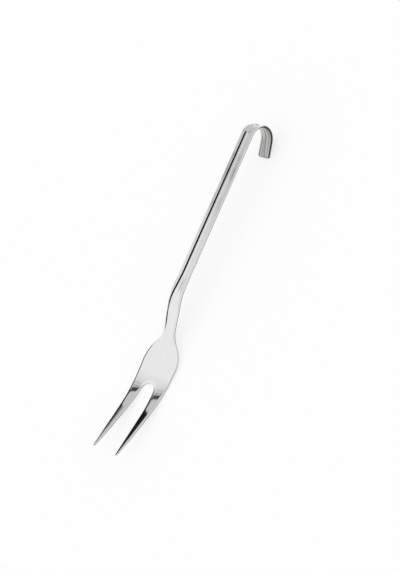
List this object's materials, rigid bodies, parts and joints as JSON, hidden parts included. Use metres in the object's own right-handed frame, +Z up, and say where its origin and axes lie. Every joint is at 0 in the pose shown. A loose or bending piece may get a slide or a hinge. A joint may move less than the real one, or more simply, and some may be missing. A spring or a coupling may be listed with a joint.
{
  "type": "serving fork",
  "caption": "One-piece serving fork pressed from sheet steel, with long upswept tines, a dished blade, a channelled handle and a hooked end for hanging.",
  "frame": {"origin": "centre of the bounding box at its bottom, on the surface the fork lies on", "axes": "+Z up, out of the served face as the fork lies on its back; +Y along the fork from the tines to the hook; +X across it"},
  "size_m": [0.0494, 0.3732, 0.0388],
  "materials": {
    "steel": "polished stainless steel"
  },
  "bodies": {
    "root": {"serving_fork": "steel"}
  },
  "joints": []
}
